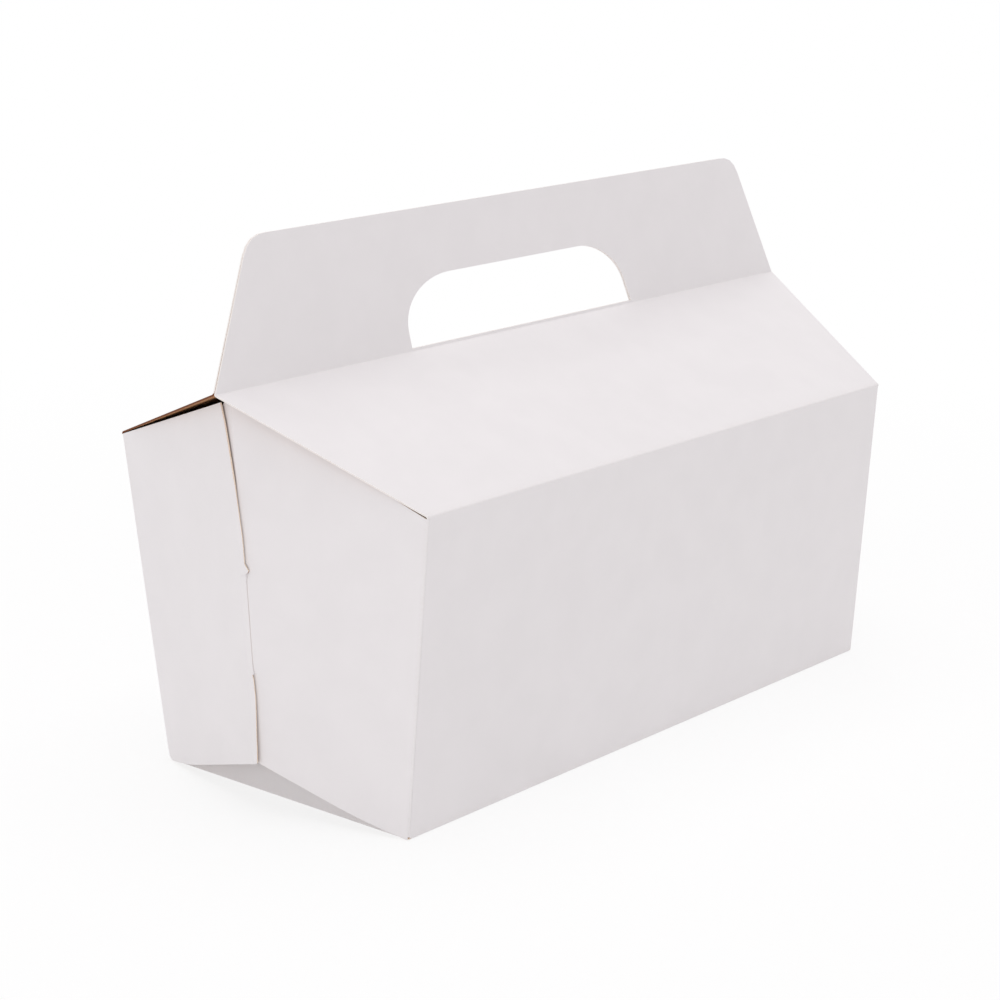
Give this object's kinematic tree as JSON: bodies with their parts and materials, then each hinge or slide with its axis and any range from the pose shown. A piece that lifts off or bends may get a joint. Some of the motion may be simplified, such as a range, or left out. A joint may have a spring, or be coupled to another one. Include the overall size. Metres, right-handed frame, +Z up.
{
  "type": "takeout carton",
  "caption": "White paperboard takeout box with a gable roof that opens along its ridge, locked end flaps and a carrying handle with a hand hole.",
  "frame": {"origin": "middle of the base, on its underside", "axes": "+X along the ridge, -Y towards the front wall, +Z up"},
  "size_m": [0.2862, 0.1254, 0.1717],
  "materials": {
    "white_board": "clay-coated paperboard, white outside and plain kraft brown inside, cut edges bare"
  },
  "bodies": {
    "tray": {"tray": "white_board"},
    "front_lid": {"front_lid": "white_board"},
    "back_lid": {"back_lid": "white_board"}
  },
  "joints": [
    {"name": "front_lid_hinge", "type": "hinge", "parent": "tray", "child": "front_lid", "pos_m": [0, -0.0554, 0.0991], "axis": [1, 0, 0], "range_deg": [0, 180]},
    {"name": "back_lid_hinge", "type": "hinge", "parent": "tray", "child": "back_lid", "pos_m": [0, 0.07009, 0.1026], "axis": [-1, 0, 0], "range_deg": [0, 180]}
  ]
}
